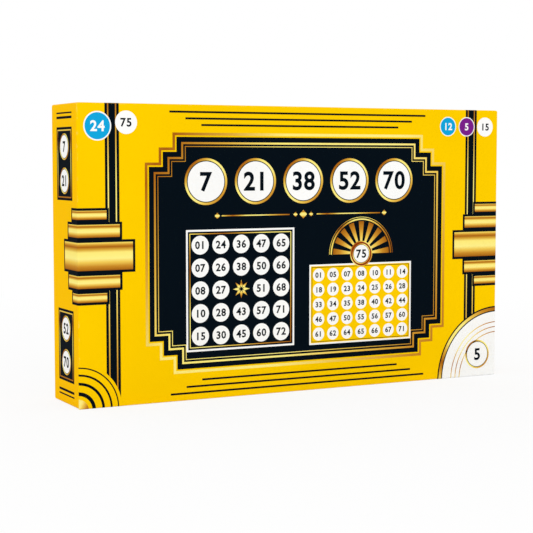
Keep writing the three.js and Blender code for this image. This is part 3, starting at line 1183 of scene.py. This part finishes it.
traySet = {
    "sheet": 1,
    "corner": 5,
    "skirtDraft": 3,         # degrees
    "lip": 1.2,              # mm, round of a pocket's mouth
    "well": {"gap": 0.4, "draft": 1.5, "round": 0.8},
    "trough": {"width": 13, "depth": 17, "reach": 13, "bite": 3, "draft": 1.5, "round": 5},
    "recess": {"sideGap": 14, "endGap": 16, "corner": 18, "draft": 5, "round": 5},
    "ribs": {"count": 3, "pitch": 46, "width": 9, "height": 3, "round": 1.6, "endGap": 18},
    "cornerSteps": 12,
    "roundSteps": 5,
    "straight": 0.001,       # mm, a shorter straight between two corners is left out
    "overrun": 2,            # mm that a cut goes on past the sheet
    "sharp": 30,             # degrees
    "colour": "#0e0f11",
}


def applied(piece):
    graph = bpy.context.evaluated_depsgraph_get()
    mesh = bpy.data.meshes.new_from_object(piece.evaluated_get(graph))
    piece.modifiers.clear()
    piece.data = mesh


def softOutline(x, z, width, height, corner):
    return {"x": x, "z": z, "width": width, "height": height, "corner": corner}


def grown(outline, by):
    return {**outline, "width": outline["width"] + 2 * by, "height": outline["height"] + 2 * by,
            "corner": outline["corner"] + by}


def softRing(outline, y, inset):
    # ring of a rounded rectangle seen from the front, at one depth
    steps, corner = traySet["cornerSteps"], outline["corner"]
    halfX, halfZ = outline["width"] / 2 - corner, outline["height"] / 2 - corner
    ring = []
    for quarter, (sideX, sideZ) in enumerate(((1, 1), (-1, 1), (-1, -1), (1, -1))):
        straight = halfX if quarter % 2 else halfZ
        for step in range(0 if straight > traySet["straight"] else 1, steps + 1):
            angle = (quarter + step / steps) * math.pi / 2
            ring.append((outline["x"] + sideX * halfX + (corner - inset) * math.cos(angle), y,
                         outline["z"] + sideZ * halfZ + (corner - inset) * math.sin(angle)))
    return ring


def meshOf(form, name):
    mesh = bpy.data.meshes.new(name)
    form.to_mesh(mesh)
    form.free()
    return mesh


def lofted(outline, stations):
    # closed solid through the rings of an outline, at pairs of depth and inset
    rings = [softRing(outline, y, inset) for y, inset in stations]
    count = len(rings[0])
    solid = bmesh.new()
    rows = [[solid.verts.new(Vector(point) * mm) for point in ring] for ring in rings]
    for here, after in zip(rows, rows[1:]):
        for index in range(count):
            following = (index + 1) % count
            solid.faces.new((here[index], here[following], after[following], after[index]))
    solid.faces.new(rows[0][::-1])
    solid.faces.new(rows[-1])
    bmesh.ops.recalc_face_normals(solid, faces=solid.faces)
    return addObject("form", meshOf(solid, "form"))


def leanOver(length, draft):
    return length * math.tan(math.radians(draft))


def draftedStations(startY, endY, draft, radius):
    # narrows by a draft from startY and ends in a rounded edge at endY
    steps, way = traySet["roundSteps"], math.copysign(1, endY - startY)
    straight = abs(endY - startY) - radius
    lean = leanOver(straight, draft)
    stations = [(startY, 0), (startY + way * straight, lean)]
    for step in range(1, steps + 1):
        angle = step / steps * math.pi / 2
        stations.append((startY + way * (straight + radius * math.sin(angle)),
                         lean + radius * (1 - math.cos(angle))))
    return stations


def lippedStations(frontY, endY, draft, radius):
    # the same, with its mouth opened out in a quarter round
    steps, lip = traySet["roundSteps"], traySet["lip"]
    stations = [(frontY - traySet["overrun"], -lip)]
    for step in range(steps + 1):
        angle = step / steps * math.pi / 2
        stations.append((frontY + lip * (1 - math.cos(angle)), lip * (math.sin(angle) - 1)))
    return stations + draftedStations(frontY, endY, draft, radius)[1:]


def columnPockets(kind, piles, depth, troughSide):
    # a round well for each pile, and a trough beside them for the fingers
    well, trough = traySet["well"], traySet["trough"]
    boxes = [nodeBox(f"{kind}_pile_{index + 1}") for index in range(piles)]
    size = boxes[0][1].x - boxes[0][0].x
    middles = [(low + high) / 2 for low, high in boxes]
    mouth = size + 2 * (well["gap"] + leanOver(depth, well["draft"]))
    pockets = [(softOutline(middle.x, middle.z, mouth, mouth, mouth / 2), depth, well) for middle in middles]
    length = middles[-1].z - middles[0].z + size + 2 * trough["reach"]
    x = middles[0].x + troughSide * (size / 2 + trough["width"] / 2 - trough["bite"])
    outline = softOutline(x, (middles[0].z + middles[-1].z) / 2, trough["width"], length, trough["width"] / 2)
    return pockets + [(outline, trough["depth"], trough)]


def combined(piece, forms, operation):
    for form in forms:
        step = piece.modifiers.new(form.name, "BOOLEAN")
        step.operation = operation
        step.solver = "MANIFOLD"
        step.object = form
    applied(piece)
    for form in forms:
        bpy.data.meshes.remove(form.data)


def makeTray():
    s, recess, ribs = traySet, traySet["recess"], traySet["ribs"]
    sheet, overrun = s["sheet"], s["overrun"]
    low, high = nodeBox("insert_tray")
    bagLow, bagHigh = nodeBox("draw_bag")
    middle, size, bagSize = (low + high) / 2, high - low, bagHigh - bagLow
    frontY, footY = low.y, high.y
    depth = size.y - sheet
    rim = softOutline(middle.x, middle.z, size.x, size.z, s["corner"])
    tray = lofted(rim, [(footY, leanOver(depth, s["skirtDraft"]))]
                  + draftedStations(frontY + sheet, frontY, 0, sheet)[1:])
    under = lofted(grown(rim, -sheet), [(footY + overrun, leanOver(depth + overrun, s["skirtDraft"])),
                                        (frontY + sheet, 0)])
    wide, tall = bagSize.x + 2 * recess["sideGap"], bagSize.z + 2 * recess["endGap"]
    pockets = columnPockets("token", tokenSet["piles"], depth, 1)
    pockets += columnPockets("marker", chipSet["piles"], depth, -1)
    pockets.append((softOutline(middle.x, middle.z, wide, tall, recess["corner"]), depth, recess))
    skins, cavities = [], []
    for outline, deep, form in pockets:
        skins.append(lofted(grown(outline, sheet), draftedStations(
            frontY + sheet / 2, frontY + deep + sheet, form["draft"], form["round"] + sheet)))
        cavities.append(lofted(outline, lippedStations(frontY, frontY + deep, form["draft"], form["round"])))
    floorY = frontY + depth
    topY = floorY - ribs["height"]
    length = tall - 2 * (recess["round"] + ribs["endGap"])
    ribSkins, ribHollows = [], []
    for index in range(ribs["count"]):
        x = middle.x + (index - (ribs["count"] - 1) / 2) * ribs["pitch"]
        outline = softOutline(x, middle.z, ribs["width"], length, ribs["width"] / 2)
        ribSkins.append(lofted(outline, draftedStations(floorY + sheet / 2, topY, 0, ribs["round"])))
        ribHollows.append(lofted(grown(outline, -sheet), [(footY + overrun, 0), (topY + sheet, 0)]))
    for forms, operation in (([under], "DIFFERENCE"), (skins, "UNION"), (cavities, "DIFFERENCE"),
                             (ribSkins, "UNION"), (ribHollows, "DIFFERENCE")):
        combined(tray, forms, operation)
    tray.name = tray.data.name = "insert_tray_sheet"
    smoothShaded(tray.data, s["sharp"])
    even = tray.modifiers.new("even", "WEIGHTED_NORMAL")
    even.keep_sharp = True
    dress(tray.data, [formedStyrene("vacuum formed polystyrene black", s["colour"])])
    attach(tray, "tray")
    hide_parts("insert_tray")


makeTray()
print("tray formed")


# the draw bag: a soft cotton pouch, lying flat, full at its closed end and pressed flat at its mouth

bagSet = {
    "across": (64, 48),      # grid of the starting shape
    "fullness": 0.8,         # share of the room's thickness before the cloth swells
    "neck": 0.4,             # share of that thickness at the mouth
    "neckAt": (0.6, 0.84),   # shares of the length over which it goes flat
    "endRound": 0.2,         # share of the length
    "lipRound": 0.022,
    "sideRound": (0.34, 0.08),     # shares of the half width, at the closed end and at the mouth
    "pull": (0.035, 0.06, 0.05),   # how far the ends, the sides and the mouth are drawn in
    "shift": 0.01,           # towards the closed end, share of the half length
    "gather": (1.1, 5, 0.6),       # mm, count and start of the soft waves at the mouth
    "voxel": 4.0,
    "pressure": 4.0,
    "frames": 20,
    "cap": 4.0,              # mm that a point may move
    "crease": (46, 11, 0.9),       # mm, length, width and depth
    "dimple": (10, 0.3),     # mm, and share of the creases' depth
    "hem": 14,               # mm from the mouth to its stitched lines
    "dent": (0.8, 2.2),      # mm, depth and reach of the hem's dent
    "spare": 0.1,            # mm left free inside the bag's room
    "stitch": (2.6, 0.6, 4.4),     # length, width and pitch
    "rows": (-1.6, 1.6),
    "ends": 24,              # mm of the hem without stitches
    "away": 30,              # mm, from where each stitch is dropped onto the cloth
    "colour": "#e8ae08",
    "thread": "#1b1b1d",
}


def eased(value, low, high):
    share = min(1, max(0, (value - low) / (high - low)))
    return share * share * (3 - 2 * share)


def rounded(distance, radius):
    # rises from 0 at an edge to 1, as a quarter circle does
    return 1 if distance >= radius else math.sqrt(max(0, 1 - (1 - distance / radius) ** 2))


def pouchPoint(along, across, side, half):
    # along runs from 0 at the closed end to 1 at the mouth, across from -1 to 1
    s = bagSet
    flat = eased(along, *s["neckAt"])
    full, pressed = s["sideRound"]
    thick = s["fullness"] * (1 + (s["neck"] - 1) * flat)
    thick *= (rounded(along, s["endRound"]) * rounded(1 - along, s["lipRound"])
              * rounded(1 - abs(across), full + (pressed - full) * flat))
    depth, waves, start = s["gather"]
    wave = depth * flat * math.sin(math.pi * waves * across + start)
    endPull, sidePull, mouthPull = s["pull"]
    x = half.x * ((2 * along - 1) * (1 - endPull * (1 - across ** 2)) - s["shift"])
    z = half.z * across * (1 - sidePull * math.sin(math.pi * along) - mouthPull * flat)
    return Vector((x, side * half.y * thick + wave, z))


def pouchShell(low, high):
    centre, half = (low + high) / 2, (high - low) / 2
    columns, rows = bagSet["across"]
    shell = bmesh.new()
    sheets = []
    for side in (-1, 1):
        sheet = []
        for i in range(columns + 1):
            line = []
            for j in range(rows + 1):
                if sheets and (i in (0, columns) or j in (0, rows)):
                    line.append(sheets[0][i][j])
                    continue
                # places crowd towards the rims, where the pouch turns fastest
                along = 0.5 - 0.5 * math.cos(math.pi * i / columns)
                across = -math.cos(math.pi * j / rows)
                line.append(shell.verts.new((centre + pouchPoint(along, across, side, half)) * mm))
            sheet.append(line)
        sheets.append(sheet)
        for i in range(columns):
            for j in range(rows):
                corners = (sheet[i][j], sheet[i + 1][j], sheet[i + 1][j + 1], sheet[i][j + 1])
                shell.faces.new(corners if side < 0 else corners[::-1])
    bmesh.ops.recalc_face_normals(shell, faces=shell.faces)
    return meshOf(shell, "draw_bag_cloth")


def swollen(piece):
    # a short cloth run under a little air pressure, with every point's way capped
    s = bagSet
    before = [vertex.co.copy() for vertex in piece.data.vertices]
    cloth = piece.modifiers.new("cloth", "CLOTH")
    cloth.settings.use_pressure = True
    cloth.settings.uniform_pressure_force = s["pressure"]
    cloth.settings.effector_weights.gravity = 0
    for step in range(1, s["frames"] + 1):
        scene.frame_set(step)
    applied(piece)
    scene.frame_set(1)
    for vertex, start in zip(piece.data.vertices, before):
        way = vertex.co - start
        if way.length > s["cap"] * mm:
            vertex.co = start + way.normalized() * s["cap"] * mm


def creaseBag(piece, low, high):
    # soft creases that run out from the mouth, and the dent of the hem, kept inside the bag's room
    s = bagSet
    length, width, depth = s["crease"]
    dimple, share = s["dimple"]
    dent, reach = s["dent"]
    middle = (low.y + high.y) / 2
    for vertex in piece.data.vertices:
        place = vertex.co / mm
        outwards = 1 if place.y > middle else -1
        along = (place.x - low.x) / (high.x - low.x)
        # the noise's middle place only keeps the two faces and the two sizes apart
        fold = noise.noise(Vector((place.x / length, outwards * 5, place.z / width))) * depth * (0.5 + along)
        fold += noise.noise(Vector((place.x / dimple, outwards * 9, place.z / dimple))) * depth * share
        fold -= dent * math.exp(-((high.x - s["hem"] - place.x) / reach) ** 2)
        place.y += fold * outwards
        for axis in range(3):
            place[axis] = min(high[axis] - s["spare"], max(low[axis] + s["spare"], place[axis]))
        vertex.co = place * mm


def sewHem(bag, low, high):
    # two rows of running stitches round the mouth, each a small bead of thread on the cloth
    s = bagSet
    length, width, pitch = s["stitch"]
    bag.update_tag()
    graph = bpy.context.evaluated_depsgraph_get()
    surface = bag.evaluated_get(graph)
    beads = bmesh.new()
    count = int((high.z - low.z - s["ends"]) / pitch)
    for shift in s["rows"]:
        x = high.x - s["hem"] + shift
        for index in range(count):
            z = (low.z + high.z) / 2 + (index - (count - 1) / 2) * pitch
            for side, y in ((-1, low.y - s["away"]), (1, high.y + s["away"])):
                hit, place, _, _ = surface.ray_cast(Vector((x, y, z)) * mm, Vector((0, -side, 0)))
                if not hit:
                    continue
                made = bmesh.ops.create_icosphere(beads, subdivisions=2, radius=1)
                for vertex in made["verts"]:
                    vertex.co = place + Vector((vertex.co.x * width / 2, vertex.co.y * width / 2,
                                                vertex.co.z * length / 2)) * mm
    mesh = meshOf(beads, "draw_bag_stitches")
    smoothShaded(mesh)
    dress(mesh, [uncoatedPaper("twisted cotton thread", s["thread"])])
    stitches = addObject("draw_bag_stitches", mesh)
    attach(stitches, "bag")


def makeDrawBag():
    s = bagSet
    low, high = nodeBox("draw_bag")
    bag = addObject("draw_bag_cloth", pouchShell(low, high))
    remesh = bag.modifiers.new("even", "REMESH")
    remesh.mode = "VOXEL"
    remesh.voxel_size = s["voxel"] * mm
    applied(bag)
    swollen(bag)
    creaseBag(bag, low, high)
    smooth = bag.modifiers.new("smooth", "SUBSURF")
    smooth.levels = smooth.render_levels = 1
    smoothShaded(bag.data)
    dress(bag.data, [plainCotton("plain woven cotton", s["colour"])])
    sewHem(bag, low, high)
    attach(bag, "bag")
    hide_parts("draw_bag")


makeDrawBag()
print("draw bag sewn")


# turning the pots into meshes

def pourPots():
    for (body, ink, slotName), pot in pots.items():
        mesh = newMesh(f"print_{body}_{ink}", pot["points"], pot["faces"])
        run = mesh.attributes.new("shade", "FLOAT", "POINT")
        run.data.foreach_set("value", pot["shades"])
        dress(mesh, [finishes[ink]])
        piece = addObject(mesh.name, mesh)
        film = piece.modifiers.new("film", "SOLIDIFY")
        film.thickness = box["film"] * mm
        film.offset = -1
        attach(piece, body)


pourPots()
print("print poured:", len(pots), "films")


# box board: wrapped outside, lined inside

boardSet = {"inside": 1.8}     # mm in from the outside, a little less than the board's thickness


def isInside(face, low, high, openY):
    centre, shut = face.center / mm, boardSet["inside"]
    inX = low.x + shut < centre.x < high.x - shut
    inZ = low.z + shut < centre.z < high.z - shut
    inY = low.y + shut < centre.y if openY > 0 else centre.y < high.y - shut
    return inX and inZ and inY


def dressBox(name, low, high, openY):
    # openY is 1 where the box opens towards the back, -1 towards the front
    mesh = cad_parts[name].data
    rimY = high.y if openY > 0 else low.y
    finishList = (wrappedBoard(f"wrapped board {name}"), boardLining(f"board lining {name}", rimY))
    dress(mesh, finishList, [isInside(face, low, high, openY) for face in mesh.polygons])


dressBox("lid", lidLow, lidHigh, 1)
dressBox("base", baseLow, baseHigh, -1)
print("box dressed")


# stage

stageSet = {
    "floorReach": 6,         # metres
    "floorDrop": 0.0003,
    "floorPaper": (0.9, 0.9, 0.9, 1),
    "floorWhite": 0.85,      # share of plain white under the piece, where its faint shadow lies
    "floorRise": (0.25, 0.9),              # metres away, over which that share rises to 1
    "world": 0.95,
    "key": (-0.9, -1.8, 1.1),              # metres
    "keyAim": (0, 0, 0.12),
    "keySize": 1.2,
    "keyPower": 6.0,
}


def seenStraight(tree):
    # 1 for a ray of the camera, of a reflection or through glass, 0 for the light that falls on the piece
    ray = addNode(tree, "LightPath").outputs
    seen = addNode(tree, "Math", {"operation": "MAXIMUM"}, {0: ray["Is Camera Ray"], 1: ray["Is Glossy Ray"]})
    return addNode(tree, "Math", {"operation": "MAXIMUM"}, {0: seen, 1: ray["Is Transmission Ray"]})


def whiteFloor():
    s = stageSet
    material = bpy.data.materials.new("studio floor")
    tree = emptyTree(material)
    paper = addNode(tree, "BsdfDiffuse", {"Color": s["floorPaper"]})
    glow = addNode(tree, "Emission", {"Strength": 1.0})
    place = addNode(tree, "TexCoord").outputs["Object"]
    far = addNode(tree, "VectorMath", {"operation": "LENGTH"}, {0: place}).outputs["Value"]
    start, end = s["floorRise"]
    share = addNode(tree, "MapRange", {1: start, 2: end, 3: s["floorWhite"], 4: 1}, {0: far})
    share = addNode(tree, "Math", {"operation": "MULTIPLY"}, {0: seenStraight(tree), 1: share})
    mixed = addNode(tree, "MixShader", links={0: share, 1: paper, 2: glow})
    addNode(tree, "OutputMaterial", links={0: mixed})
    reach = s["floorReach"]
    corners = [(u, v, -s["floorDrop"]) for u, v in rectangle(-reach, -reach, reach, reach)]
    mesh = newMesh("floor", corners, [(0, 1, 2, 3)])
    dress(mesh, [material])
    floor = addObject("floor", mesh)


def softRoom():
    scene.world = bpy.data.worlds.new("room")
    tree = emptyTree(scene.world)
    dim = addNode(tree, "Background", {"Color": (1, 1, 1, 1), "Strength": stageSet["world"]})
    white = addNode(tree, "Background", {"Color": (1, 1, 1, 1), "Strength": 1.0})
    mixed = addNode(tree, "MixShader", links={0: seenStraight(tree), 1: dim, 2: white})
    addNode(tree, "OutputWorld", links={0: mixed})


def softLamp():
    s = stageSet
    data = bpy.data.lights.new("key", "AREA")
    data.shape = "DISK"
    data.size = s["keySize"]
    data.energy = s["keyPower"]
    addAimed("key", data, s["key"], Vector(s["keyAim"]) - Vector(s["key"]))


whiteFloor()
softRoom()
softLamp()
print("stage set")
